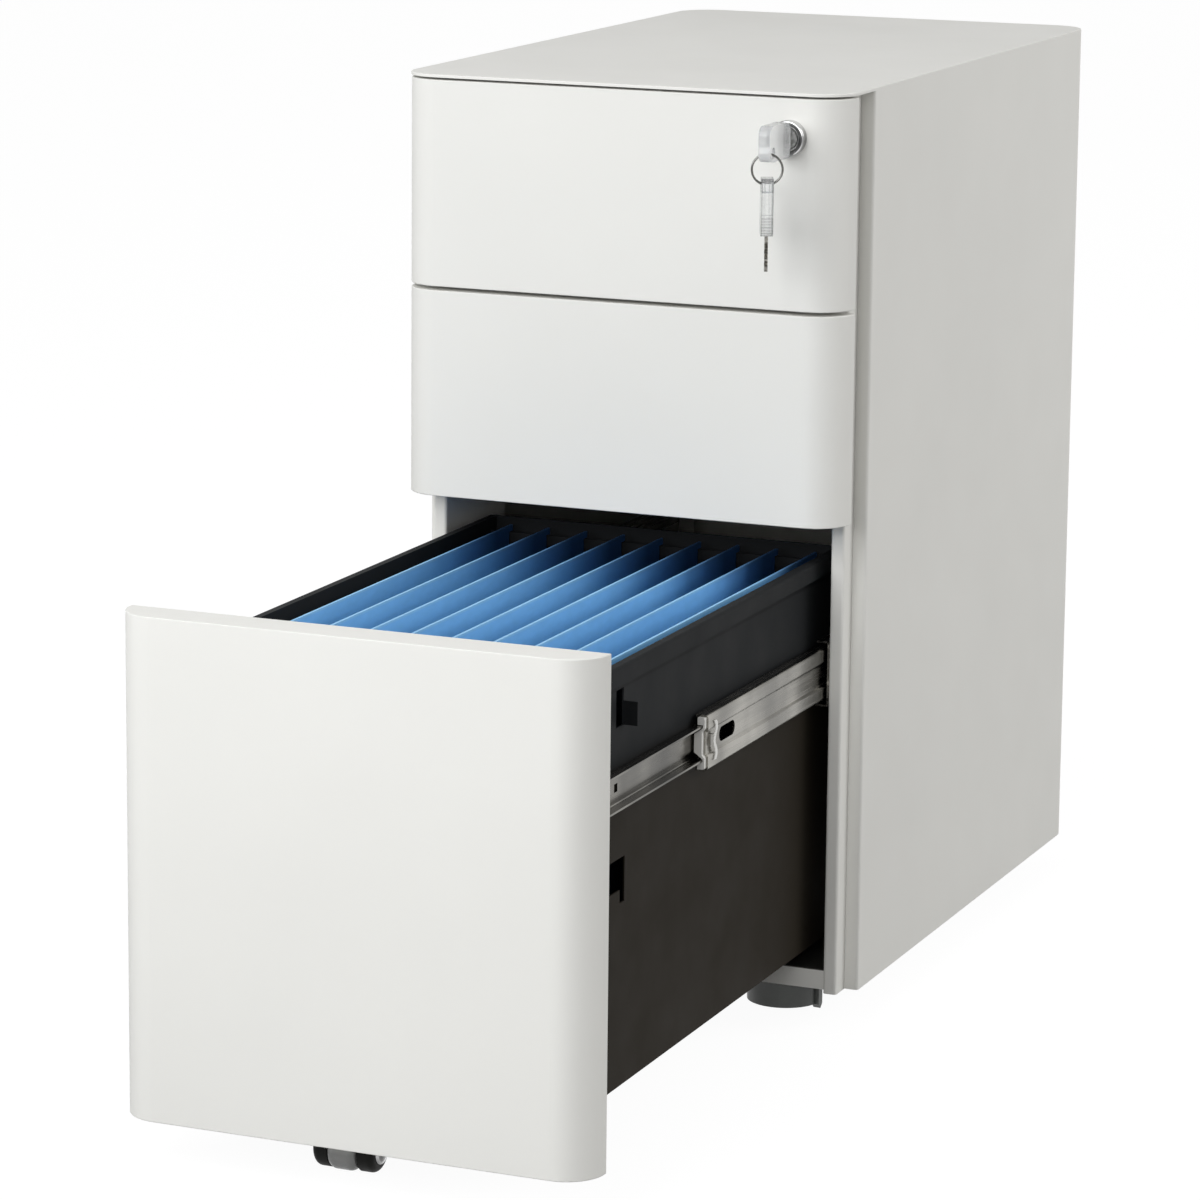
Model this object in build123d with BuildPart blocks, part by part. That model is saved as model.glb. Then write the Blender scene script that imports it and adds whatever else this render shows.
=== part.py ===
"""Slim mobile file cabinet with three drawers, in millimetres.

The floor is Z = 0, the drawers open towards -Y, and X = 0 is the middle of the cabinet.
The origin lies on the floor under the middle of the whole object as it stands stored,
with the file drawer pulled out by file_open.
"""

import os
from math import cos, radians, sin, tan

from build123d import *

# Cabinet
width = 300
depth = 500
height = 600
file_open = 388  # how far the file drawer stands out in the stored pose
side_bottom = 23  # lower edge of the side panels
corner = 25  # plan radius of the top plate and of the rear corners
top_thick = 2
sheet = 1.0
fold_radius = 2.0  # outer radius where a sheet is folded
rear_flange = 38  # how far a side panel reaches round onto the back

# Front posts and the finger channels beside them
channel_wide = 9
channel_back = 52  # from the front plane to the folded front edge of a side panel
side_room = 18  # from the cabinet's side to the wall that carries the slides
post_front = 36  # from the front plane to the face of a front post
post_back = 132
post_wing_back = 70  # rear end of the post's outer wall
rear_post_long = 45

# Pans under the top plate and at the base
pan_front = 38
top_pan_deep = 10
base_top = 38
base_deep = 13

# Drawer fronts, from the top drawer down
top_gap = 1.5
front_gap = 2.5
upper_front_heights = (131, 132.5)
lowest_front_bottom = 29
front_inset = 1.0
front_deep = 25
front_corner = 24
front_edge = 0.7

# Drawer boxes, from the top drawer down
box_lifts = (4.5, 7.5, 21)  # from the lower edge of each front to its box
rim_drops = (41.5, 40, 25)  # from the upper edge of each front to the rims of its box
box_back_room = 25  # from a shut drawer to the cabinet's back
rim_wide = 5.2
rim_deep = 11

# Slides
slide_drops = (61, 61, 72)  # from the rims of each box to the middle of its slides
slide_thick = 12.7
slide_sheet = 1.2
slide_bend = 2.2
slide_front_gap = 5  # from a drawer's front to the moving members
slide_back_room = 58  # from the outer members to the cabinet's back
slide_play = 5  # the moving members are this much shorter than the outer ones
outer_start = 37
outer_tall = 42
outer_lip = 8.5
middle_tall = 33.8
middle_gap = 2.6  # between the outer member's mounting face and the middle member
middle_lip = 7.9
groove_tall = 13  # groove pressed along the middle member's web
groove_deep = 1.7
groove_bend = 1.4
inner_tall = 22
inner_lip = 7.5
ball_clear = 0.3
cage_wide = 4.5
outer_cage = (250, 400)
inner_cage = (62, 200)
bumper_proud = 3
bumper_long = 16
bumper_nose = 5.5  # how far its nose stands into the inner member's channel
bumper_nose_tall = 11
clip_near = 8  # clip outside the web that holds the bumper
clip_wide = 3.4
clip_tall = 24
clip_thick = 0.7
clip_wave = 1.6
window_long = 4
window_tall = 7
slot_near = 22
slot_long = 26
slot_tall = 9
punch_near = 70
punch_size = 5

# Catches that the lock bar holds, and the openings they are bent out of
catch_near = 116  # behind the front plane with the drawer shut
catch_above_slide = 13
catch_tall = 14
catch_proud = 8.7
slit_long = 11
slit_talls = (15, 15, 22)
notch_near = 60
notch_long = 35
notch_drop = 63  # from the middle of the slide to the notch
notch_tall = 19
notch_tail_long = 7
notch_tail_deep = 8

# Folders and the rails that they hang on
folder_count = 9
folder_side_room = 12.7  # between the outer folders' middles and the box sides
folder_thick = 1.6
folder_below_rim = 4
folder_above_floor = 11
folder_ear_tall = 4
folder_ear_long = 7
folder_rail_tall = 12
folder_rail_thick = 2
folder_rail_inset = 8
folder_end_gap = 1.5
hang_gap = 0.3

# Lock
lock_inset = 36.5  # from the cabinet's side
lock_drop = 25.4  # from the underside of the top plate
lock_flange_radius = 11
lock_flange_proud = 6
lock_body_radius = 9
lock_recess_radius = 8
lock_recess_deep = 1.2
plug_radius = 6.5
plug_gap = 0.05
plug_proud = 5.2
plug_tail_radius = 4.95
plug_tail_long = 3.5
hole_clear = 0.1
nut_radius = 12.7
nut_thick = 4
nut_behind = 0.2
cam_start = 26
cam_thick = 2
cam_hub_radius = 8
cam_arm = 12
cam_arm_wide = 8
cam_angle = -45
pin_radius = 2
pin_end = 102

# Keys and ring
key_head_near = 9
key_head_long = 35
key_head_tall = 22
key_head_thick = 7.5
key_head_corner = 6
key_hole_radius = 3.4
key_hole_inset = 5.8
key_blade_tall = 7.5
key_blade_thick = 2
key_blade_reach = 18
keyway_gap = 0.15
keyway_deep = 19
tooth_places = (6, 9.5, 12.5, 17)  # cuts along a blade, from its head
tooth_size = 2.4
ring_radius = 9.3
ring_wire = 0.7
ring_turn = 23  # the ring hangs turned this far about the vertical
ring_drop = 0.7  # its wire lies this far below the middle of the key's hole
spare_blade_long = 22
spare_rest_gap = 0.3

# Lock bar
bar_gap = 0.3
bar_thick = 2
bar_near = 96
bar_wide = 16
bar_tail = 6
bar_lift = 17
tongue_reach = 18.3
tongue_tall = 12
tongue_slot_gap = 0.6
hook_near = 108
hook_tall = 8
hook_above_slide = 2
hook_reach = 11.3
post_slot_gap = 1
guide_lifts = (69, 88)  # above the middles of the lowest and the middle slide
guide_tall = 12
guide_near = 88
guide_far = 120

# Body casters, each with a round hood over twin wheels
caster_inset = 40  # from the wall that carries the slides
caster_front = 74
caster_back_room = 70
hood_radius = 24
hood_wall = 2.5
hood_bottom = 5
hood_crown = 3
hood_edge = 3
hood_gap = 0.5
flange_radius = 17
flange_thick = 2
stem_radius = 4
stem_gap = 0.1
stem_end = 30.5
tread_radius = 13
tread_wide = 8
tread_ease = 1.5
wheel_gap = 0.5
cheek_thick = 5
cheek_margin = 5
caster_trail = 5
axle_radius = 2
axle_gap = 0.06
lug_angle = -7
lug_wide = 5
lug_low = 2
lug_tall = 26
lug_proud = 2.5

# Caster under the file drawer's front
file_caster_x = -22.5
file_caster_behind = 60  # swivel axis behind the drawer's front plane
file_caster_lead = 8  # its wheels stand this far in front of the swivel axis
file_tread_radius = 13
file_tread_wide = 10
file_tread_round = 4
file_body_radius = 11.5
file_body_thick = 18
file_body_low = 1
file_body_lead = 5  # its round body stands this far in front of the axle
file_body_round = 5
file_boss_radius = 7
file_boss_low = 10
file_stem_end = 28
file_flange_radius = 15
file_axle_radius = 2.5
cap_radius = 8
cap_recess = 1.2
cap_thick = 2.4
cap_gap = 0.05
recess_radius = 36  # cut-out of the base that takes this caster when the drawer is shut

# Places worked out from the sizes above
front_y = -(depth - file_open) / 2
back_y = front_y + depth
half = width / 2
slide_wall = half - side_room
box_half = slide_wall - slide_thick
channel_x = half - channel_wide
under_top = height - top_thick
front_half = half - front_inset
box_front = front_y + front_deep
box_long = depth - front_deep - box_back_room
pan_back = back_y - 2 * sheet
rear_post_far = depth - corner
rear_post_near = rear_post_far - rear_post_long
caster_x = slide_wall - caster_inset
caster_rear = depth - caster_back_room
pulls = (0, 0, file_open)
names = ("drawer_1", "drawer_2", "file_drawer")
front_tops = [under_top - top_gap]
for tall in upper_front_heights:
    front_tops.append(front_tops[-1] - tall - front_gap)
front_heights = (*upper_front_heights, front_tops[-1] - lowest_front_bottom)
front_lows = [top - tall for top, tall in zip(front_tops, front_heights)]
box_bottoms = [low + lift for low, lift in zip(front_lows, box_lifts)]
box_tops = [top - drop for top, drop in zip(front_tops, rim_drops)]
slide_heights = [top - drop for top, drop in zip(box_tops, slide_drops)]
slide_start = front_deep + slide_front_gap
outer_long = depth - outer_start - slide_back_room
member_long = outer_long - slide_play
slide_tops = [z + outer_tall / 2 for z in slide_heights]
catch_lows = [top + catch_above_slide for top in slide_tops]
hook_lows = [top + hook_above_slide for top in slide_tops]
guide_heights = (slide_heights[-1] + guide_lifts[0], slide_heights[1] + guide_lifts[1])
notch_low = slide_heights[-1] - notch_drop
lock_x = half - lock_inset
lock_z = under_top - lock_drop
cam_pin_x = lock_x + cam_arm * cos(radians(cam_angle))
cam_pin_z = lock_z + cam_arm * sin(radians(cam_angle))
bar_inner = slide_wall + sheet + bar_gap
bar_outer = bar_inner + bar_thick

os.makedirs("parts", exist_ok=True)


def save(part, name):
    """Labels one finished piece and writes its file."""
    part.label = name
    export_step(part, f"parts/{name}.step")


def folded(points, radii, low, high):
    """A sheet folded along plan points on its outer faces, standing from low to high."""
    with BuildPart() as bent:
        with BuildSketch(Plane.XY.offset(low)):
            with BuildLine():
                FilletPolyline(*points, radius=radii)
                offset(amount=sheet, side=Side.LEFT)
            make_face()
        extrude(amount=high - low)
    return bent.part


def left_copy(part):
    """The left-hand partner of a right-hand piece."""
    with BuildPart() as copy:
        add(part)
        mirror(about=Plane.YZ, mode=Mode.REPLACE)
    return copy.part


def facing(x, y, z):
    """A plane that faces the front, with X to the right and Z up."""
    return Plane(origin=(x, y, z), x_dir=(1, 0, 0), z_dir=(0, -1, 0))


def beside(x, y, z):
    """A plane that faces right, with Y to the right and Z up."""
    return Plane(origin=(x, y, z), x_dir=(0, 1, 0), z_dir=(1, 0, 0))


def slab(x0, x1, y0, y1, z0, z1, mode=Mode.ADD):
    """A plain block between the given limits."""
    with Locations(((x0 + x1) / 2, (y0 + y1) / 2, (z0 + z1) / 2)):
        return Box(x1 - x0, y1 - y0, z1 - z0, mode=mode)


# Casing
with BuildPart() as top_plate:
    with BuildSketch(Plane.XY.offset(under_top)):
        with Locations((0, front_y + depth / 2)):
            RectangleRounded(width, depth, corner)
    extrude(amount=top_thick)
    fillet(top_plate.edges().group_by(Axis.Z)[-1], radius=top_thick * 0.4)
save(top_plate.part, "top_plate")

side_points = [
    (channel_x, front_y + channel_back),
    (half, front_y + channel_back),
    (half, back_y),
    (half - rear_flange, back_y),
]
side_panel = folded(side_points, [fold_radius, corner], side_bottom, under_top)
save(left_copy(side_panel), "side_panel_left")
save(side_panel, "side_panel_right")

with BuildPart() as back_panel:
    slab(
        corner - half,
        half - corner,
        back_y - 2 * sheet,
        back_y - sheet,
        side_bottom,
        under_top,
    )
save(back_panel.part, "back_panel")

post_points = [
    (half - sheet, front_y + post_back),
    (slide_wall, front_y + post_back),
    (slide_wall, front_y + post_front),
    (channel_x, front_y + post_front),
    (channel_x, front_y + post_wing_back),
]
post = folded(post_points, fold_radius, side_bottom, under_top)
save(left_copy(post), "front_post_left")

with BuildPart() as front_post_right:
    add(post)
    for low in hook_lows:
        slab(
            slide_wall - sheet,
            slide_wall + 2 * sheet,
            front_y + hook_near - post_slot_gap,
            front_y + hook_near + bar_thick + post_slot_gap,
            low - post_slot_gap,
            low + hook_tall + bar_lift + post_slot_gap,
            mode=Mode.SUBTRACT,
        )
    slab(
        slide_wall - sheet,
        slide_wall + 2 * sheet,
        front_y + bar_near - post_slot_gap,
        front_y + bar_near + bar_thick + post_slot_gap,
        cam_pin_z - tongue_tall / 2 - post_slot_gap,
        cam_pin_z + tongue_tall / 2 + bar_lift + post_slot_gap,
        mode=Mode.SUBTRACT,
    )
save(front_post_right.part, "front_post_right")

rear_points = [
    (half - sheet, front_y + rear_post_far),
    (slide_wall, front_y + rear_post_far),
    (slide_wall, front_y + rear_post_near),
    (half - sheet, front_y + rear_post_near),
]
with BuildPart() as rear_posts:
    add(folded(rear_points, fold_radius, side_bottom, under_top))
    mirror(about=Plane.YZ)
save(rear_posts.part, "rear_posts")

with BuildPart() as top_stiffener:
    slab(-slide_wall, slide_wall, front_y + pan_front, pan_back, under_top - top_pan_deep, under_top)
    fillet(top_stiffener.edges().filter_by(Axis.Z).group_by(Axis.Y)[-1], radius=fold_radius)
    offset(amount=-sheet, openings=top_stiffener.faces().sort_by(Axis.Z)[0])
save(top_stiffener.part, "top_stiffener")

with BuildPart() as base_plate:
    slab(-slide_wall, slide_wall, front_y + pan_front, pan_back, base_top - base_deep, base_top)
    fillet(base_plate.edges().filter_by(Axis.Z).group_by(Axis.Y)[-1], radius=fold_radius)
    offset(amount=-sheet, openings=base_plate.faces().sort_by(Axis.Z)[0])
    with BuildSketch(Plane.XY.offset(base_top - base_deep)):
        with Locations((file_caster_x, front_y + file_caster_behind)):
            Circle(recess_radius)
            Rectangle(2 * recess_radius, recess_radius, align=(Align.CENTER, Align.MAX))
    extrude(amount=base_deep, mode=Mode.SUBTRACT)
save(base_plate.part, "base_plate")

# Lock bar and its guides, behind the right-hand slide wall
with BuildPart() as lock_bar:
    slab(
        bar_inner,
        bar_outer,
        front_y + bar_near,
        front_y + bar_near + bar_wide,
        hook_lows[-1] - bar_tail,
        cam_pin_z + tongue_tall / 2,
    )
    for low in hook_lows:
        slab(
            bar_outer - hook_reach,
            bar_outer,
            front_y + hook_near,
            front_y + hook_near + bar_thick,
            low,
            low + hook_tall,
        )
    slab(
        bar_outer - tongue_reach,
        bar_outer,
        front_y + bar_near,
        front_y + bar_near + bar_thick,
        cam_pin_z - tongue_tall / 2,
        cam_pin_z + tongue_tall / 2,
    )
    slot_left = cam_pin_x - pin_radius - tongue_slot_gap
    slot_right = lock_x + cam_arm + pin_radius + tongue_slot_gap
    with BuildSketch(facing((slot_left + slot_right) / 2, front_y + bar_near, cam_pin_z)):
        SlotOverall(slot_right - slot_left, 2 * (pin_radius + tongue_slot_gap))
    extrude(amount=-bar_thick, mode=Mode.SUBTRACT)
save(lock_bar.part, "lock_bar")

with BuildPart() as lock_bar_guides:
    for low in guide_heights:
        slab(
            slide_wall + sheet,
            bar_outer + bar_gap + sheet,
            front_y + guide_near,
            front_y + guide_far,
            low,
            low + guide_tall,
        )
        slab(
            slide_wall + sheet,
            bar_outer + bar_gap,
            front_y + bar_near - bar_gap,
            front_y + bar_near + bar_wide + bar_gap,
            low,
            low + guide_tall,
            mode=Mode.SUBTRACT,
        )
save(lock_bar_guides.part, "lock_bar_guides")


# Slides
def member(points, radii, near, far):
    """A rail of bent strip along Y on the right, outer faces on the points, and its left copy."""
    with BuildPart() as rail:
        with BuildSketch(facing(0, far, 0)):
            with BuildLine():
                FilletPolyline(*points, radius=radii)
                offset(amount=slide_sheet, side=Side.LEFT)
            make_face()
        extrude(amount=far - near)
        mirror(about=Plane.YZ)
    return rail.part


def inward_channel(face, lip, tall, z):
    """Points of a channel with its back at X = face, open towards the drawer."""
    low, high = z - tall / 2, z + tall / 2
    return [(face - lip, low), (face, low), (face, high), (face - lip, high)]


def grooved_channel(face, lip, tall, z):
    """Points of such a channel with a groove pressed along its back."""
    low, high = z - tall / 2, z + tall / 2
    edge, foot = groove_tall / 2 + groove_deep, groove_tall / 2
    return [
        (face - lip, low),
        (face, low),
        (face, z - edge),
        (face - groove_deep, z - foot),
        (face - groove_deep, z + foot),
        (face, z + edge),
        (face, high),
        (face - lip, high),
    ]


def outward_channel(face, lip, tall, z):
    """Points of a channel with its back at X = face, open towards the cabinet's side."""
    low, high = z - tall / 2, z + tall / 2
    return [(face + lip, high), (face, high), (face, low), (face + lip, low)]


middle_face = slide_wall - middle_gap
middle_inside = middle_face - slide_sheet
groove_inside = middle_inside - groove_deep
cage_outer_x = middle_inside - ball_clear
inner_cage_tall = middle_tall / 2 - slide_sheet - inner_tall / 2
outer_cage_tall = outer_tall / 2 - slide_sheet - middle_tall / 2


def cages(z, shift):
    """Ball cages on the right: two outside the middle member and two inside it."""
    for up in (-1, 1):
        for start, room, span in (
            (inner_tall / 2, inner_cage_tall, inner_cage),
            (middle_tall / 2, outer_cage_tall, outer_cage),
        ):
            edge_a = z + up * (start + ball_clear)
            edge_b = z + up * (start + room - ball_clear)
            slab(
                cage_outer_x - cage_wide,
                cage_outer_x,
                front_y - shift + span[0],
                front_y - shift + span[1],
                min(edge_a, edge_b),
                max(edge_a, edge_b),
            )


def middle_member(z, shift):
    """The half-speed member with its window, slot hole and ball cages."""
    near = front_y - shift + slide_start
    points = grooved_channel(middle_face, middle_lip, middle_tall, z)
    radii = [slide_bend, groove_bend, groove_bend, groove_bend, groove_bend, slide_bend]
    with BuildPart() as middle:
        add(member(points, radii, near, near + member_long))
        slab(
            groove_inside - ball_clear,
            middle_face + ball_clear,
            near + clip_near,
            near + clip_near + window_long,
            z - window_tall / 2,
            z + window_tall / 2,
            mode=Mode.SUBTRACT,
        )
        with BuildSketch(beside(groove_inside - ball_clear, near + slot_near + slot_long / 2, z)):
            SlotOverall(slot_long, slot_tall)
        extrude(amount=middle_face - groove_inside + 2 * ball_clear, mode=Mode.SUBTRACT)
        cages(z, shift)
        split(bisect_by=Plane.YZ, keep=Keep.TOP)
        mirror(about=Plane.YZ)
    return middle.part


def bumper(z, shift):
    """The plastic end piece in the middle member's front end with its clip, left and right."""
    near = front_y - shift + slide_start - bumper_proud
    tip = middle_inside - cage_wide
    inside = middle_tall / 2 - slide_sheet
    clear = inner_tall / 2 + ball_clear
    web = box_half + inner_lip + ball_clear
    nose = web - bumper_nose
    nose_top = bumper_nose_tall / 2
    foot = groove_tall / 2 + slide_sheet * tan(radians(22.5))
    edge = foot + groove_deep + ball_clear
    channel = inner_tall / 2 - slide_sheet - ball_clear
    clip_middle = near + bumper_proud + clip_near + window_long / 2
    clip_inner = middle_face + plug_gap
    half_clip, half_wide = clip_tall / 2, clip_wide / 2
    with BuildPart() as piece:
        with BuildSketch(facing(0, near + bumper_proud + bumper_long, 0)) as profile:
            with BuildLine():
                Polyline(
                    (tip, z - inside),
                    (middle_inside, z - inside),
                    (middle_inside, z - edge),
                    (groove_inside, z - foot),
                    (groove_inside, z + foot),
                    (middle_inside, z + edge),
                    (middle_inside, z + inside),
                    (tip, z + inside),
                    (tip, z + clear),
                    (web, z + clear),
                    (web, z + channel),
                    (nose, z + nose_top),
                    (nose, z - nose_top),
                    (web, z - channel),
                    (web, z - clear),
                    (tip, z - clear),
                    close=True,
                )
            make_face()
            corners = profile.vertices().group_by(Axis.Y)
            outer_corners = ShapeList(corners[0] + corners[-1]).sort_by(Axis.X)[-2:]
            fillet(outer_corners, radius=slide_bend - slide_sheet)
        extrude(amount=bumper_proud + bumper_long)
        slab(
            groove_inside,
            clip_inner,
            clip_middle - half_wide,
            clip_middle + half_wide,
            z - window_tall / 2 + plug_gap,
            z + window_tall / 2 - plug_gap,
        )
        with BuildSketch(beside(clip_inner, clip_middle, z)):
            with BuildLine():
                front_edge_line = Spline(
                    (-half_wide, -half_clip),
                    (clip_wave - half_wide, -half_clip / 2),
                    (-clip_wave - half_wide, 0),
                    (clip_wave - half_wide, half_clip / 2),
                    (-half_wide, half_clip),
                )
                Line(front_edge_line @ 1, (half_wide, half_clip))
                Spline(
                    (half_wide, half_clip),
                    (clip_wave + half_wide, half_clip / 2),
                    (half_wide - clip_wave, 0),
                    (clip_wave + half_wide, -half_clip / 2),
                    (half_wide, -half_clip),
                )
                Line((half_wide, -half_clip), front_edge_line @ 0)
            make_face()
        extrude(amount=clip_thick)
        mirror(about=Plane.YZ)
    return piece.part


def inner_member(z, shift):
    """The member that carries the drawer, with a punched hole near its front."""
    near = front_y - shift + slide_start
    with BuildPart() as inner:
        points = outward_channel(box_half, inner_lip, inner_tall, z)
        add(member(points, slide_bend, near, near + member_long))
        slab(
            -box_half - slide_sheet,
            box_half + slide_sheet,
            near + punch_near,
            near + punch_near + punch_size,
            z - punch_size / 2,
            z + punch_size / 2,
            mode=Mode.SUBTRACT,
        )
    return inner.part


for number, (z, pull) in enumerate(zip(slide_heights, pulls), start=1):
    outer_near = front_y + outer_start
    outer_points = inward_channel(slide_wall, outer_lip, outer_tall, z)
    outer = member(outer_points, slide_bend, outer_near, outer_near + outer_long)
    save(outer, f"slide_outer_{number}")
    save(middle_member(z, pull / 2), f"slide_middle_{number}")
    save(bumper(z, pull / 2), f"slide_bumpers_{number}")
    save(inner_member(z, pull), f"slide_inner_{number}")


# Drawers
def front_shell(low, tall, pull):
    """A hollow front with rounded upright edges, open at the back."""
    near = front_y - pull
    with BuildPart() as shell:
        with BuildSketch(Plane.XY.offset(low)) as plan:
            with Locations((0, near + front_deep / 2)):
                Rectangle(2 * front_half, front_deep)
            fillet(plan.vertices().group_by(Axis.Y)[0], radius=front_corner)
        extrude(amount=tall)
        offset(amount=-sheet, openings=shell.faces().sort_by(Axis.Y)[-1])
        ends = shell.edges().group_by(Axis.Z)
        rims = ShapeList(ends[0] + ends[-1])
        fillet(rims.filter_by(lambda e: e.center().Y < near + front_deep - sheet / 10), front_edge)
    return shell.part


def liner(low, tall, pull):
    """The flat sheet that closes the back of a front."""
    with BuildPart() as plate:
        slab(
            sheet - front_half,
            front_half - sheet,
            box_front - pull - sheet,
            box_front - pull,
            low + sheet,
            low + tall - sheet,
        )
    return plate.part


def drawer_box(low, high, pull, catch_low, slit_tall):
    """A folded tray with outward rims, and the slits that the catches are bent out of."""
    near = box_front - pull
    slit_near = front_y - pull + catch_near - slit_long
    with BuildPart() as tray:
        slab(-box_half, box_half, near, near + box_long, low, high)
        offset(amount=-sheet, openings=tray.faces().sort_by(Axis.Z)[-1])
        with BuildSketch(facing(0, near + box_long, 0)):
            with BuildLine():
                FilletPolyline(
                    (box_half + rim_wide, high - rim_deep),
                    (box_half + rim_wide, high),
                    (box_half - sheet, high),
                    radius=fold_radius,
                )
                offset(amount=sheet, side=Side.LEFT)
            make_face()
        extrude(amount=box_long)
        mirror(about=Plane.YZ)
        slab(
            -box_half,
            box_half,
            slit_near,
            slit_near + slit_long,
            catch_low,
            catch_low + slit_tall,
            mode=Mode.SUBTRACT,
        )
    return tray.part


def catch(low, pull):
    """The tongue on the drawer's right side that a hook of the lock bar stops."""
    with BuildPart() as tongue:
        slab(
            box_half,
            box_half + catch_proud,
            front_y - pull + catch_near,
            front_y - pull + catch_near + sheet,
            low,
            low + catch_tall,
        )
    return tongue.part


for number, name in enumerate(names):
    low, tall, pull = front_lows[number], front_heights[number], pulls[number]
    shell = front_shell(low, tall, pull)
    back = liner(low, tall, pull)
    box_low, box_high = box_bottoms[number], box_tops[number]
    tray = drawer_box(box_low, box_high, pull, catch_lows[number], slit_talls[number])
    if name == "drawer_1":
        with BuildPart() as pierced_shell:
            add(shell)
            with BuildSketch(facing(lock_x, front_y + front_deep / 2, lock_z)):
                Circle(lock_body_radius + hole_clear)
            extrude(amount=front_deep, mode=Mode.SUBTRACT)
        shell = pierced_shell.part
        with BuildPart() as pierced_liner:
            add(back)
            with BuildSketch(facing(lock_x, box_front, lock_z)):
                Circle(lock_body_radius + hole_clear)
            extrude(amount=sheet, mode=Mode.SUBTRACT)
        back = pierced_liner.part
    if name == "file_drawer":
        notch_start = box_front - pull + notch_near
        notch_end = notch_start + notch_long
        with BuildPart() as notched:
            add(tray)
            slab(
                -box_half,
                box_half,
                notch_start,
                notch_end,
                notch_low,
                notch_low + notch_tall,
                mode=Mode.SUBTRACT,
            )
            slab(
                -box_half,
                box_half,
                notch_end - notch_tail_long,
                notch_end,
                notch_low - notch_tail_deep,
                notch_low,
                mode=Mode.SUBTRACT,
            )
        tray = notched.part
    save(shell, f"{name}_front")
    save(back, f"{name}_liner")
    save(tray, f"{name}_box")
    save(catch(catch_lows[number], pull), f"{name}_catch")

# Folders and their rails in the file drawer
file_near = box_front - file_open + sheet
file_far = box_front - file_open + box_long - sheet
rail_near = file_near + folder_rail_inset
rail_far = file_far - folder_rail_inset
folder_pitch = 2 * (box_half - sheet - folder_side_room) / (folder_count - 1)
folder_top = box_tops[-1] - folder_below_rim
folder_bottom = box_bottoms[-1] + sheet + folder_above_floor
ear_low = folder_top - folder_ear_tall
rail_top = ear_low - hang_gap
with BuildPart() as folder_rails:
    for centre in (rail_near, rail_far):
        slab(
            sheet - box_half,
            box_half - sheet,
            centre - folder_rail_thick / 2,
            centre + folder_rail_thick / 2,
            rail_top - folder_rail_tall,
            rail_top,
        )
save(folder_rails.part, "folder_rails")

leaf_near = rail_near + folder_rail_thick / 2 + folder_end_gap
leaf_far = rail_far - folder_rail_thick / 2 - folder_end_gap
with BuildPart() as hanging_folders:
    for count in range(folder_count):
        x = (count - (folder_count - 1) / 2) * folder_pitch
        with BuildSketch(beside(x - folder_thick / 2, 0, 0)):
            with BuildLine():
                Polyline(
                    (leaf_near, folder_bottom),
                    (leaf_far, folder_bottom),
                    (leaf_far, ear_low),
                    (rail_far + folder_ear_long / 2, ear_low),
                    (rail_far + folder_ear_long / 2, folder_top),
                    (rail_near - folder_ear_long / 2, folder_top),
                    (rail_near - folder_ear_long / 2, ear_low),
                    (leaf_near, ear_low),
                    close=True,
                )
            make_face()
        extrude(amount=folder_thick)
save(hanging_folders.part, "hanging_folders")

# Lock in the top drawer's front
with BuildPart() as lock_barrel:
    with BuildSketch(facing(lock_x, front_y, lock_z)):
        Circle(lock_flange_radius)
    extrude(amount=lock_flange_proud)
    fillet(lock_barrel.edges().group_by(Axis.Y)[0], radius=1.2)
    with BuildSketch(facing(lock_x, front_y, lock_z)):
        Circle(lock_body_radius)
    extrude(amount=-front_deep)
    with BuildSketch(facing(lock_x, front_y - lock_flange_proud, lock_z)):
        Circle(lock_recess_radius)
    extrude(amount=-lock_recess_deep, mode=Mode.SUBTRACT)
    with BuildSketch(facing(lock_x, front_y - lock_flange_proud, lock_z)):
        Circle(plug_radius + plug_gap)
    extrude(amount=-lock_flange_proud - front_deep, mode=Mode.SUBTRACT)
save(lock_barrel.part, "lock_barrel")

with BuildPart() as lock_nut:
    with BuildSketch(facing(lock_x, front_y + sheet + nut_behind, lock_z)):
        RegularPolygon(radius=nut_radius, side_count=6, rotation=30)
        Circle(lock_body_radius + hole_clear, mode=Mode.SUBTRACT)
    extrude(amount=-nut_thick)
save(lock_nut.part, "lock_nut")

with BuildPart() as lock_plug:
    with BuildSketch(facing(lock_x, front_y - plug_proud, lock_z)):
        Circle(plug_radius)
    extrude(amount=-plug_proud - front_deep)
    with BuildSketch(facing(lock_x, front_y + front_deep, lock_z)):
        Circle(plug_tail_radius)
    extrude(amount=-plug_tail_long)
    with BuildSketch(facing(lock_x, front_y - plug_proud, lock_z)):
        Rectangle(key_blade_thick + 2 * keyway_gap, key_blade_tall + 2 * keyway_gap)
    extrude(amount=-plug_proud - keyway_deep, mode=Mode.SUBTRACT)
save(lock_plug.part, "lock_plug")

with BuildPart() as lock_cam:
    with BuildSketch(facing(lock_x, front_y + cam_start, lock_z)):
        Circle(cam_hub_radius)
        with Locations(((cam_pin_x - lock_x) / 2, (cam_pin_z - lock_z) / 2)):
            SlotCenterToCenter(cam_arm, cam_arm_wide, rotation=cam_angle)
        Circle(plug_tail_radius + plug_gap, mode=Mode.SUBTRACT)
    extrude(amount=-cam_thick)
    with BuildSketch(facing(cam_pin_x, front_y + cam_start + cam_thick, cam_pin_z)):
        Circle(pin_radius)
    extrude(amount=cam_start + cam_thick - pin_end)
save(lock_cam.part, "lock_cam")

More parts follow.
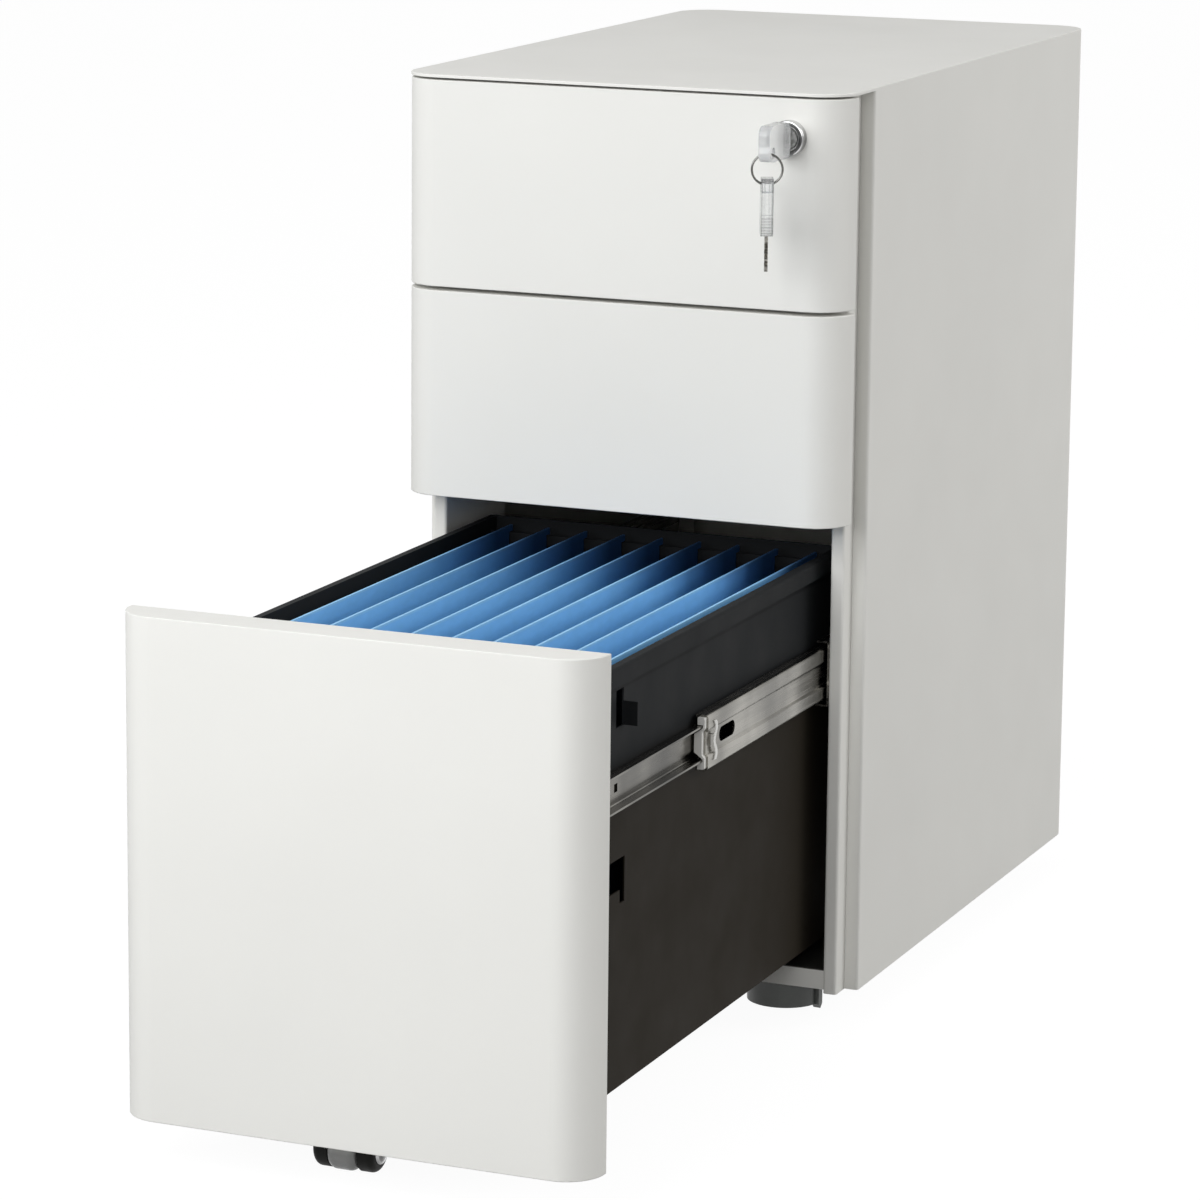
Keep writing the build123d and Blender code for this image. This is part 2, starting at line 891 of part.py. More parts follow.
# Key in the lock
hole_y = front_y - key_head_near - key_head_long + key_hole_inset
hole_z = lock_z - key_head_tall / 2 + key_hole_inset
with BuildPart() as key_head:
    head_y = front_y - key_head_near - key_head_long / 2
    with BuildSketch(beside(lock_x - key_head_thick / 2, head_y, lock_z)):
        RectangleRounded(key_head_long, key_head_tall, key_head_corner)
        with Locations((hole_y - head_y, hole_z - lock_z)):
            Circle(key_hole_radius, mode=Mode.SUBTRACT)
    extrude(amount=key_head_thick)
save(key_head.part, "key_head")

blade_long = key_head_near + key_blade_reach
with BuildPart() as key_blade:
    with BuildSketch(beside(lock_x - key_blade_thick / 2, front_y - key_head_near, lock_z)):
        with Locations((blade_long / 2, 0)):
            Rectangle(blade_long, key_blade_tall)
        with Locations(*[(place, -key_blade_tall / 2) for place in tooth_places]):
            Rectangle(tooth_size, tooth_size, rotation=45, mode=Mode.SUBTRACT)
    extrude(amount=key_blade_thick)
save(key_blade.part, "key_blade")

# Split ring and spare key, turned together about the vertical
along = (cos(radians(ring_turn)), sin(radians(ring_turn)), 0)
outward = (sin(radians(ring_turn)), -cos(radians(ring_turn)), 0)
ring_top = hole_z - ring_drop
ring_centre = (lock_x, hole_y, ring_top - ring_radius)
with BuildPart() as key_ring:
    with BuildSketch(Plane(origin=ring_centre, x_dir=outward, z_dir=(along[0], along[1], 0))):
        with Locations((0, ring_radius)):
            Circle(ring_wire)
    revolve(axis=Axis(ring_centre, outward), revolution_arc=360)
save(key_ring.part, "key_ring")

ring_low = ring_top - 2 * ring_radius
wire_rise = ring_radius - (ring_radius**2 - (key_head_thick / 2) ** 2) ** 0.5
spare_hole_z = ring_low + wire_rise + ring_wire + spare_rest_gap - key_hole_radius
spare_top = spare_hole_z + key_hole_inset
spare_middle = spare_top - key_head_long / 2
half_thick = key_head_thick / 2
spare_origin = (lock_x - along[0] * half_thick, hole_y - along[1] * half_thick, spare_middle)
back_along = (-outward[0], -outward[1], 0)
with BuildPart() as spare_key_head:
    with BuildSketch(Plane(origin=spare_origin, x_dir=back_along, z_dir=along)):
        RectangleRounded(key_head_tall, key_head_long, key_head_corner)
        with Locations((0, spare_hole_z - spare_middle)):
            Circle(key_hole_radius, mode=Mode.SUBTRACT)
    extrude(amount=key_head_thick)
save(spare_key_head.part, "spare_key_head")

half_blade = key_blade_thick / 2
blade_middle = spare_top - key_head_long - spare_blade_long / 2
blade_origin = (lock_x - along[0] * half_blade, hole_y - along[1] * half_blade, blade_middle)
with BuildPart() as spare_key_blade:
    with BuildSketch(Plane(origin=blade_origin, x_dir=back_along, z_dir=along)):
        Rectangle(key_blade_tall, spare_blade_long)
        with Locations(*[(-key_blade_tall / 2, spare_blade_long / 2 - place) for place in tooth_places]):
            Rectangle(tooth_size, tooth_size, rotation=45, mode=Mode.SUBTRACT)
    extrude(amount=key_blade_thick)
    fillet(spare_key_blade.edges().filter_by(Axis((0, 0, 0), along)).group_by(Axis.Z)[0], 2)
save(spare_key_blade.part, "spare_key_blade")

# Body casters
caster_places = {
    "front_left": (-caster_x, front_y + caster_front),
    "front_right": (caster_x, front_y + caster_front),
    "rear_left": (-caster_x, front_y + caster_rear),
    "rear_right": (caster_x, front_y + caster_rear),
}
base_under = base_top - sheet
hood_top = base_under - flange_thick - hood_gap

with BuildPart() as caster_flanges:
    for x, y in caster_places.values():
        with Locations((x, y, base_under)):
            Cylinder(flange_radius, flange_thick, align=(Align.CENTER, Align.CENTER, Align.MAX))
            Cylinder(stem_radius, base_under - stem_end, align=(Align.CENTER, Align.CENTER, Align.MAX))
save(caster_flanges.part, "caster_flanges")


def hood(x, y):
    """A round skirted hood with the cheek that carries the axle, and a lug on its rim."""
    inside = hood_top - hood_crown
    with BuildPart() as shell:
        with Locations((x, y, hood_bottom)):
            Cylinder(
                hood_radius, hood_top - hood_bottom, align=(Align.CENTER, Align.CENTER, Align.MIN)
            )
        fillet(shell.edges().group_by(Axis.Z)[-1], radius=hood_edge)
        with Locations((x, y, hood_bottom)):
            Cylinder(
                hood_radius - hood_wall,
                inside - hood_bottom,
                align=(Align.CENTER, Align.CENTER, Align.MIN),
                mode=Mode.SUBTRACT,
            )
        slab(
            x - cheek_thick / 2,
            x + cheek_thick / 2,
            y - cheek_margin,
            y + caster_trail + cheek_margin,
            tread_radius - cheek_margin,
            inside,
        )
        with Locations((x, y, hood_bottom)):
            Cylinder(
                stem_radius + stem_gap,
                hood_top,
                align=(Align.CENTER, Align.CENTER, Align.MIN),
                mode=Mode.SUBTRACT,
            )
        with BuildSketch(beside(x - cheek_thick, y + caster_trail, tread_radius)):
            Circle(axle_radius + axle_gap)
        extrude(amount=2 * cheek_thick, mode=Mode.SUBTRACT)
        out = (cos(radians(lug_angle)), sin(radians(lug_angle)), 0)
        start = hood_radius - hood_wall
        lug_origin = (x + out[0] * start, y + out[1] * start, 0)
        with BuildSketch(Plane(origin=lug_origin, x_dir=(-out[1], out[0], 0), z_dir=out)):
            with BuildLine():
                Polyline(
                    (-lug_wide / 2, lug_low + lug_tall),
                    (-lug_wide / 2, hood_bottom),
                    (0, lug_low),
                    (lug_wide / 2, hood_bottom),
                    (lug_wide / 2, lug_low + lug_tall),
                    close=True,
                )
            make_face()
        extrude(amount=hood_wall + lug_proud)
    return shell.part


def twin_wheels(x, y, radius, tread, ease_edge, ease, gap, thick, axle):
    """Two treads with eased outer shoulders and the axle that they turn on."""
    inner = thick / 2 + gap
    with BuildPart() as pair:
        with BuildSketch(beside(x + inner, y, radius)):
            Circle(radius)
            Circle(axle + plug_gap, mode=Mode.SUBTRACT)
        extrude(amount=tread)
        rim = pair.edges().filter_by(GeomType.CIRCLE).group_by(Axis.X)[-1].sort_by(SortBy.RADIUS)[-1]
        ease_edge(rim, ease)
        mirror(about=Plane(origin=(x, y, 0), x_dir=(0, 1, 0), z_dir=(1, 0, 0)))
        with BuildSketch(beside(x - inner - tread, y, radius)):
            Circle(axle)
        extrude(amount=2 * (inner + tread))
    return pair.part


for place, (x, y) in caster_places.items():
    save(hood(x, y), f"caster_hood_{place}")
    wheels = twin_wheels(
        x,
        y + caster_trail,
        tread_radius,
        tread_wide,
        chamfer,
        tread_ease,
        wheel_gap,
        cheek_thick,
        axle_radius,
    )
    save(wheels, f"caster_wheels_{place}")

# Caster under the file drawer's front
swivel_y = front_y - file_open + file_caster_behind
file_axle_y = swivel_y - file_caster_lead
file_under = box_bottoms[-1]
boss_top = file_under - flange_thick - hood_gap
with BuildPart() as file_caster_flange:
    with Locations((file_caster_x, swivel_y, file_under)):
        Cylinder(file_flange_radius, flange_thick, align=(Align.CENTER, Align.CENTER, Align.MAX))
        Cylinder(
            stem_radius, file_under - file_stem_end, align=(Align.CENTER, Align.CENTER, Align.MAX)
        )
save(file_caster_flange.part, "file_caster_flange")

body_y = file_axle_y - file_body_lead
body_z = file_body_low + file_body_radius
with BuildPart() as file_caster_hood:
    with BuildSketch(beside(file_caster_x - file_body_thick / 2, body_y, body_z)):
        Circle(file_body_radius)
    extrude(amount=file_body_thick)
    fillet(file_caster_hood.edges().filter_by(GeomType.CIRCLE), radius=file_body_round)
    with Locations((file_caster_x, swivel_y, boss_top)):
        Cylinder(
            file_boss_radius, boss_top - file_boss_low, align=(Align.CENTER, Align.CENTER, Align.MAX)
        )
        Cylinder(
            stem_radius + stem_gap,
            boss_top - file_stem_end + sheet,
            align=(Align.CENTER, Align.CENTER, Align.MAX),
            mode=Mode.SUBTRACT,
        )
    with BuildSketch(beside(file_caster_x - file_body_thick, file_axle_y, file_tread_radius)):
        Circle(file_axle_radius + axle_gap)
    extrude(amount=2 * file_body_thick, mode=Mode.SUBTRACT)
save(file_caster_hood.part, "file_caster_hood")

pair = twin_wheels(
    file_caster_x,
    file_axle_y,
    file_tread_radius,
    file_tread_wide,
    fillet,
    file_tread_round,
    wheel_gap,
    file_body_thick,
    file_axle_radius,
)
wheel_face = file_body_thick / 2 + wheel_gap + file_tread_wide
middle = Plane(origin=(file_caster_x, file_axle_y, 0), x_dir=(0, 1, 0), z_dir=(1, 0, 0))
cap_inner = file_caster_x + wheel_face - cap_recess
with BuildPart() as file_caster_wheels:
    add(pair)
    with BuildSketch(beside(cap_inner, file_axle_y, file_tread_radius)):
        Circle(cap_radius + cap_gap)
    extrude(amount=cap_thick, mode=Mode.SUBTRACT)
    split(bisect_by=middle, keep=Keep.TOP)
    mirror(about=middle)
save(file_caster_wheels.part, "file_caster_wheels")

with BuildPart() as file_caster_caps:
    with BuildSketch(beside(cap_inner, file_axle_y, file_tread_radius)):
        Circle(cap_radius)
    extrude(amount=cap_thick)
    fillet(file_caster_caps.edges().group_by(Axis.X)[-1], radius=cap_recess)
    mirror(about=middle)
save(file_caster_caps.part, "file_caster_caps")
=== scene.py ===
"""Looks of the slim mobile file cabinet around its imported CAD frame, in metres."""

import math

import bpy
from mathutils import Matrix, Vector


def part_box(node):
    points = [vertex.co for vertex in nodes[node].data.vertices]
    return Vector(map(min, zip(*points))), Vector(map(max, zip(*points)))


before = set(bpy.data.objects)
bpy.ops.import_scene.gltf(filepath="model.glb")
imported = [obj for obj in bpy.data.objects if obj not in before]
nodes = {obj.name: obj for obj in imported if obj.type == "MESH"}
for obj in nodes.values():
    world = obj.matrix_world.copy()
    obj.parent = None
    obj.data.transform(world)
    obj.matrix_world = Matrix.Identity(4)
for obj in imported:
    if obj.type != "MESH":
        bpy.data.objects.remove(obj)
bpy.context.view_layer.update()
scene = bpy.context.scene


# Tools for materials
def socket(mat, name):
    """An input of the material's principled shader."""
    return mat.node_tree.nodes["Principled BSDF"].inputs[name]


def material(name, color, rough, metal=0.0, **inputs):
    """A material of one principled shader; its other inputs are given by name."""
    mat = bpy.data.materials.new(name)
    mat.use_nodes = True
    socket(mat, "Base Color").default_value = (*color, 1)
    socket(mat, "Roughness").default_value = rough
    socket(mat, "Metallic").default_value = metal
    for key, value in inputs.items():
        socket(mat, key.replace("_", " ")).default_value = value
    return mat


def gray(level):
    """A neutral colour."""
    return (level, level, level)


def node(mat, kind, **settings):
    """A new shader node with the given settings."""
    made = mat.node_tree.nodes.new(kind)
    for key, value in settings.items():
        setattr(made, key, value)
    return made


def link(mat, source, target):
    """Joins an output of one node to an input of another."""
    mat.node_tree.links.new(source, target)


def calculate(mat, operation, *values):
    """A calculation on values, which are outputs or plain numbers."""
    made = node(mat, "ShaderNodeMath", operation=operation)
    for value, target in zip(values, made.inputs):
        if isinstance(value, (int, float)):
            target.default_value = value
        else:
            link(mat, value, target)
    return made.outputs["Value"]


# Places on the object, in metres of the shared frame
def place(mat):
    """The place as a vector."""
    return node(mat, "ShaderNodeTexCoord").outputs["Object"]


def place_from(mat, centre):
    """The place measured from a centre, as a vector."""
    shift = node(mat, "ShaderNodeVectorMath", operation="SUBTRACT")
    shift.inputs[1].default_value = centre
    link(mat, place(mat), shift.inputs[0])
    return shift.outputs["Vector"]


def parts_of(mat, vector):
    """The parts X, Y and Z of a vector."""
    split = node(mat, "ShaderNodeSeparateXYZ")
    link(mat, vector, split.inputs["Vector"])
    return split.outputs


def along(mat, axis):
    """The place along one axis."""
    return parts_of(mat, place(mat))[axis]


def out_from(mat, centre, axis):
    """The distance from a line through centre along one axis."""
    flat = node(mat, "ShaderNodeVectorMath", operation="MULTIPLY")
    flat.inputs[1].default_value = [0 if name == axis else 1 for name in "XYZ"]
    length = node(mat, "ShaderNodeVectorMath", operation="LENGTH")
    link(mat, place_from(mat, centre), flat.inputs[0])
    link(mat, flat.outputs["Vector"], length.inputs[0])
    return length.outputs["Value"]


def turn_about(mat, centre, axis):
    """The turn about a line through centre along one axis, from 0 to 1."""
    first, second = [name for name in "XYZ" if name != axis]
    parts = parts_of(mat, place_from(mat, centre))
    flat = node(mat, "ShaderNodeCombineXYZ")
    link(mat, parts[first], flat.inputs["X"])
    link(mat, parts[second], flat.inputs["Y"])
    sweep = node(mat, "ShaderNodeTexGradient", gradient_type="RADIAL")
    link(mat, flat.outputs["Vector"], sweep.inputs["Vector"])
    return sweep.outputs["Fac"]


def beside(mat, centre, across):
    """The distance to either side of centre in the direction across."""
    span = node(mat, "ShaderNodeVectorMath", operation="DOT_PRODUCT")
    span.inputs[1].default_value = across
    link(mat, place_from(mat, centre), span.inputs[0])
    return calculate(mat, "ABSOLUTE", span.outputs["Value"])


def noise(mat, scale, stretch=(1, 1, 1), detail=3):
    """Noise over the place, drawn out along the axes where stretch is small."""
    spread = node(mat, "ShaderNodeMapping")
    spread.inputs["Scale"].default_value = stretch
    made = node(mat, "ShaderNodeTexNoise")
    made.inputs["Scale"].default_value = scale
    made.inputs["Detail"].default_value = detail
    link(mat, place(mat), spread.inputs["Vector"])
    link(mat, spread.outputs["Vector"], made.inputs["Vector"])
    return made.outputs["Fac"]


# What the places and noises do to a surface
noise_low, noise_high = 0.3, 0.7  # most of a noise lies between these


def bump(mat, layers):
    """Bumps laid over each other; each layer is (height, strength, distance)."""
    below = None
    for height, strength, distance in layers:
        made = node(mat, "ShaderNodeBump")
        made.inputs["Strength"].default_value = strength
        made.inputs["Distance"].default_value = distance
        link(mat, height, made.inputs["Height"])
        if below:
            link(mat, below, made.inputs["Normal"])
        below = made.outputs["Normal"]
    link(mat, below, socket(mat, "Normal"))


def vary_rough(mat, fac, low, high):
    """Lets the roughness run from low to high with a noise."""
    made = node(mat, "ShaderNodeMapRange")
    made.inputs["From Min"].default_value = noise_low
    made.inputs["From Max"].default_value = noise_high
    made.inputs["To Min"].default_value = low
    made.inputs["To Max"].default_value = high
    link(mat, fac, made.inputs["Value"])
    link(mat, made.outputs["Result"], socket(mat, "Roughness"))


def ramp(mat, fac, stops):
    """A colour that runs with fac; stops are (fac, colour), the lowest first."""
    low, high = stops[0][0], stops[-1][0]
    fit = node(mat, "ShaderNodeMapRange")
    fit.inputs["From Min"].default_value = low
    fit.inputs["From Max"].default_value = high
    made = node(mat, "ShaderNodeValToRGB")
    link(mat, fac, fit.inputs["Value"])
    link(mat, fit.outputs["Result"], made.inputs["Fac"])
    first, last = made.color_ramp.elements
    first.color = (*stops[0][1], 1)
    last.color = (*stops[-1][1], 1)
    for at, color in stops[1:-1]:
        made.color_ramp.elements.new((at - low) / (high - low)).color = (*color, 1)
    return made.outputs["Color"]


def gray_ramp(mat, fac, stops):
    """A ramp whose stops are (fac, level)."""
    return ramp(mat, fac, [(at, gray(level)) for at, level in stops])


def times(mat, first, second):
    """The product of two colours."""
    made = node(mat, "ShaderNodeMix", data_type="RGBA", blend_type="MULTIPLY")
    made.inputs["Factor"].default_value = 1
    link(mat, first, made.inputs["A"])
    link(mat, second, made.inputs["B"])
    return made.outputs["Result"]


def colored(mat, color):
    """The material, with a colour that a node gives."""
    link(mat, color, socket(mat, "Base Color"))
    return mat


# Coats of the casing, the fronts and the boxes
paint = (0.79, 0.782, 0.745)


def powder_coat(name, color, level):
    """A sprayed and baked coat with fine orange peel and a faint drift in gloss."""
    rough = 0.55
    mat = material(name, color, rough, Specular_IOR_Level=level)
    vary_rough(mat, noise(mat, 26), rough - 0.04, rough + 0.05)
    bump(mat, [(noise(mat, 260), 0.1, 0.0002), (noise(mat, 1100), 0.12, 0.0001)])
    return mat


def casing_coat():
    """White paint with a faint drift in colour."""
    mat = powder_coat("casing coat", paint, 0.25)
    deep = [part * 0.985 for part in paint]
    pale = [part * 1.012 for part in paint]
    return colored(mat, ramp(mat, noise(mat, 7), [(noise_low, deep), (noise_high, pale)]))


def base_coat_with_painted_shade():
    """White paint on the base's rails; its upper face, in the shade of the drawers, is painted
    dark as painted shade.
    """
    mat = powder_coat("base coat", paint, 0.25)
    base_face = 0.0376  # height just under the upper face of the base plate
    # dark above the base face: painted shade under the drawers
    stops = [(base_face - 0.0004, paint), (base_face, (0.03, 0.029, 0.026))]
    return colored(mat, ramp(mat, along(mat, "Z"), stops))


def box_coat():
    """Near-black paint, browner low down, bluer at the rim, with a line of painted shade along a
    crease under it.
    """
    mat = powder_coat("box coat", (0.02, 0.0185, 0.0155), 0.03)
    rim_color = (0.0165, 0.0175, 0.0185)
    painted_shade_crease, half_painted_shade_crease = 0.2875, 0.0015
    stops = [
        (0.05, (0.0215, 0.0178, 0.0132)),
        (0.231, (0.0195, 0.0165, 0.0125)),
        (0.245, rim_color),
        (painted_shade_crease - half_painted_shade_crease, rim_color),
        # the thin darker line at the crease is painted shade
        (painted_shade_crease, (0.0095, 0.01, 0.0105)),
        (painted_shade_crease + half_painted_shade_crease, rim_color),
    ]
    return colored(mat, ramp(mat, along(mat, "Z"), stops))


# Steel and chrome
def rolled_steel(name, deep, pale, rough):
    """Zinc-plated strip with clouds and with the draw lines of roll forming along it."""
    mat = material(name, pale, rough, 1.0)
    lines = noise(mat, 30, (14, 0.35, 14), 4)
    clouds = noise(mat, 16, (0.3, 1, 0.3), 2)
    streaks = ramp(mat, lines, [(noise_low, deep), (noise_high, pale)])
    shades = gray_ramp(mat, clouds, [(0.38, 0.55), (0.52, 0.95), (0.64, 1.7)])
    vary_rough(mat, lines, rough - 0.05, rough + 0.1)
    bump(mat, [(noise(mat, 90, (20, 0.5, 20)), 0.04, 0.0001)])
    return colored(mat, times(mat, streaks, shades))


def turned_metal_with_painted_light(name, centre, axis, painted_rings, rough):
    """Plated metal turned on a lathe, with painted light: rings are (radius, level) of painted
    shade and painted highlight about the axis, and a painted reflection makes it brighter on two
    sides.
    """
    mat = material(name, gray(painted_rings[-1][1]), rough, 1.0)
    painted_reflection_sides = [
        (0.0, 0.55),
        (0.1, 0.3),
        (0.2, 0.32),
        (0.34, 1),
        (0.48, 0.4),
        (0.62, 1),
        (0.7, 1),
        (0.8, 0.35),
        (1.0, 0.55),
    ]
    # rings of painted shade and painted highlight about the axis
    turned = gray_ramp(mat, out_from(mat, centre, axis), painted_rings)
    # painted reflection, brighter on two sides of the axis
    painted_reflection = gray_ramp(mat, turn_about(mat, centre, axis), painted_reflection_sides)
    vary_rough(mat, noise(mat, 300), rough - 0.02, rough + 0.06)
    return colored(mat, times(mat, turned, painted_reflection))


def lock_chrome():
    """The lock's flange, with painted shade in the gap round the plug and in a groove, and painted
    highlights on a narrow ring and on the rim.
    """
    lock_centre = (0.1135, 0, 0.5726)
    # levels of painted shade and painted highlight, from the plug outwards
    painted_rings = [
        (0.0066, 0.05),
        (0.0070, 0.06),
        (0.0072, 0.62),
        (0.0078, 0.66),
        (0.0081, 0.1),
        (0.0095, 0.24),
        (0.0099, 0.1),
        (0.0102, 0.8),
        (0.0111, 0.55),
    ]
    return turned_metal_with_painted_light("chrome", lock_centre, "Y", painted_rings, 0.09)


def cap_chrome():
    """The caster's caps: a dull hub in a bright ring of painted highlight about the axle."""
    caps_low, caps_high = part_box("file_caster_caps")
    axle_height = 0.013
    axle = (0, (caps_low.y + caps_high.y) / 2, axle_height)
    # levels of painted reflection: a dull hub and a bright ring
    painted_rings = [(0.0, 0.3), (0.004, 0.22), (0.0058, 0.4), (0.0066, 0.95), (0.0082, 0.8)]
    return turned_metal_with_painted_light("cap chrome", axle, "X", painted_rings, 0.12)


def plug_face():
    """Turned face of the lock's plug."""
    mat = material("plug face", (0.3, 0.3, 0.29), 0.3, 1.0)
    turned = noise(mat, 420, (1, 0.2, 1), 2)
    bump(mat, [(turned, 0.25, 0.0001)])
    stops = [(0.35, (0.2, 0.2, 0.195)), (0.65, (0.4, 0.4, 0.39))]
    return colored(mat, ramp(mat, turned, stops))


def key_steel():
    """Milled steel of the key blades."""
    mat = material("key steel", (0.22, 0.21, 0.19), 0.3, 1.0)
    milled = noise(mat, 900, (1, 1, 1), 2)
    bump(mat, [(milled, 0.4, 0.0002)])
    stops = [(0.35, (0.1, 0.097, 0.088)), (0.65, (0.33, 0.32, 0.29))]
    return colored(mat, ramp(mat, milled, stops))


def ring_wire():
    """Bright wire of the key ring."""
    mat = material("ring wire", (0.13, 0.128, 0.122), 0.14, 1.0)
    vary_rough(mat, noise(mat, 500), 0.1, 0.26)
    return mat


# Clear heads of the keys
def ribs(mat, axis, near, far):
    """The height of moulded ribs across one axis, between two places on it."""
    wave = node(mat, "ShaderNodeTexWave", bands_direction=axis)
    wave.inputs["Scale"].default_value = 175  # ribs 1.8 mm apart
    wave.inputs["Distortion"].default_value = 0.6
    link(mat, place(mat), wave.inputs["Vector"])
    after = calculate(mat, "GREATER_THAN", along(mat, axis), near)
    before = calculate(mat, "LESS_THAN", along(mat, axis), far)
    inside = calculate(mat, "MULTIPLY", after, before)
    return calculate(mat, "MULTIPLY", inside, wave.outputs["Fac"])


def clear_plastic(name, clarity, axis, near, far):
    """Clear moulded plastic with painted shade at its edges and on its ribs: the material and its
    tint of painted shade.
    """
    mat = material(name, (0.93, 0.935, 0.935), 0.07, IOR=1.3, Transmission_Weight=clarity)
    rib_height = ribs(mat, axis, near, far)
    rim = node(mat, "ShaderNodeLayerWeight")
    rim.inputs["Blend"].default_value = 0.35
    painted_edge_shade = [(0.0, (0.96, 0.965, 0.965)), (0.5, (0.88, 0.885, 0.885)), (1.0, (0.25, 0.255, 0.26))]
    painted_rib_shade = [(0.0, (1, 1, 1)), (0.45, (0.97, 0.97, 0.97)), (1.0, (0.55, 0.56, 0.56))]
    bump(mat, [(rib_height, 0.6, 0.0005), (noise(mat, 200), 0.25, 0.0005)])
    # painted shade: darker where the surface is seen edge on, and on the ribs
    edges = ramp(mat, rim.outputs["Facing"], painted_edge_shade)
    return mat, times(mat, edges, ramp(mat, rib_height, painted_rib_shade))


def clear_head():
    """Head of the key in the lock, ribbed next to its blade."""
    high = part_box("key_head")[1]
    mat, painted_shade_tint = clear_plastic("clear key head", 0.68, "Y", high.y - 0.012, high.y - 0.001)
    return colored(mat, painted_shade_tint)


def clear_spare_head():
    """Head of the spare key, ribbed next to its blade, with sunk lines along both its faces drawn
    in painted shade.
    """
    low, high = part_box("spare_key_head")
    mat, painted_shade_tint = clear_plastic("clear spare head", 0.85, "Z", low.z + 0.001, low.z + 0.012)
    head_turn = math.radians(23)
    across = (math.cos(head_turn), math.sin(head_turn), 0)
    plain, painted_groove_shade = (1, 1, 1), (0.5, 0.51, 0.51)
    # the sunk lines are darker: painted shade
    lines = [
        (0.0, plain),
        (0.0012, plain),
        (0.0014, painted_groove_shade),
        (0.0017, plain),
        (0.0026, plain),
        (0.0032, painted_groove_shade),
    ]
    lined = ramp(mat, beside(mat, (low + high) / 2, across), lines)
    return colored(mat, times(mat, painted_shade_tint, lined))


# Folders
def folder():
    """Blue fibre board, bright along its top, with painted shade that makes it near black below
    and darker towards the back.
    """
    mat = material("folder", (0.16, 0.38, 0.68), 0.55, Specular_IOR_Level=0.25)
    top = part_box("hanging_folders")[1].z
    # near black below the top: painted shade between the folders
    painted_light_heights = [
        (top - 0.0165, (0.006, 0.01, 0.016)),
        (top - 0.0145, (0.19, 0.51, 0.94)),
        (top - 0.002, (0.21, 0.54, 0.97)),
        (top, (0.3, 0.6, 0.9)),
    ]
    # darker towards the back: painted shade of the cabinet
    painted_shade_depths = [
        (-0.11, (1, 1, 1)),
        (-0.07, (0.82, 0.88, 0.94)),
        (-0.035, (0.45, 0.52, 0.64)),
        (0.0, (0.12, 0.17, 0.26)),
    ]
    fibres = gray_ramp(mat, noise(mat, 240, (1, 0.3, 1), 5), [(noise_low, 0.93), (noise_high, 1)])
    # the board's colour carries the painted shade below its top
    board = times(mat, ramp(mat, along(mat, "Z"), painted_light_heights), fibres)
    bump(mat, [(noise(mat, 600, (1, 0.4, 1), 4), 0.15, 0.0001)])
    return colored(mat, times(mat, board, ramp(mat, along(mat, "Y"), painted_shade_depths)))


# Plastics
def white_plastic():
    """Smooth white plastic of the slides' end pieces."""
    mat = material("white plastic", (0.8, 0.79, 0.76), 0.35)
    vary_rough(mat, noise(mat, 90), 0.3, 0.42)
    bump(mat, [(noise(mat, 700), 0.1, 0.0001)])
    return mat


def moulded(name, color, rough, level=0.5):
    """Moulded plastic with a fine etched grain, and its scuffs as a noise."""
    mat = material(name, color, rough, Specular_IOR_Level=level)
    scuffs = noise(mat, 120, (1, 1, 1), 6)
    vary_rough(mat, scuffs, rough - 0.05, rough + 0.1)
    bump(mat, [(noise(mat, 1400), 0.12, 0.0001)])
    return mat, scuffs


def scuffed(name, color, *gloss):
    """Moulded plastic with paler scuffs."""
    mat, scuffs = moulded(name, color, *gloss)
    pale = [part * 1.25 for part in color]
    return colored(mat, ramp(mat, scuffs, [(0.35, color), (0.75, pale)]))


def small_hood():
    """Grey plastic of the small caster's hood, with painted shade at its foot, a painted highlight
    just under its shoulder, and dark above the shoulder.
    """
    mat, _ = moulded("grey plastic", (0.3, 0.3, 0.295), 0.2)
    # painted shade low down and a painted highlight near the top
    painted_light_heights = [
        (0.0015, (0.12, 0.12, 0.118)),
        (0.005, (0.26, 0.26, 0.255)),
        (0.013, (0.33, 0.33, 0.32)),
        (0.0185, (0.7, 0.7, 0.68)),
        (0.0215, (0.62, 0.62, 0.6)),
        (0.024, (0.1, 0.1, 0.1)),
    ]
    return colored(mat, ramp(mat, along(mat, "Z"), painted_light_heights))


# Which piece wears what
def wear(mat, *names):
    """Gives a material to the named nodes."""
    for name in names:
        nodes[name].data.materials.clear()
        nodes[name].data.materials.append(mat)


def each(start):
    """The names of all nodes that begin so."""
    return [name for name in nodes if name.startswith(start)]


white, black = casing_coat(), box_coat()
zinc = rolled_steel("slide steel", (0.15, 0.145, 0.13), (0.215, 0.208, 0.19), 0.22)
# the inner slides wear a darker copy of the slide steel: painted shade for their deeper place
inner_zinc_in_painted_shade = rolled_steel("inner slide steel in painted shade", (0.08, 0.077, 0.069), (0.125, 0.12, 0.108), 0.2)
fittings = rolled_steel("fitting steel", (0.42, 0.41, 0.39), (0.56, 0.55, 0.53), 0.3)
dark = scuffed("dark plastic", (0.068, 0.073, 0.068), 0.34)
wheel = scuffed("wheel plastic", (0.009, 0.009, 0.008), 0.5, 0.12)

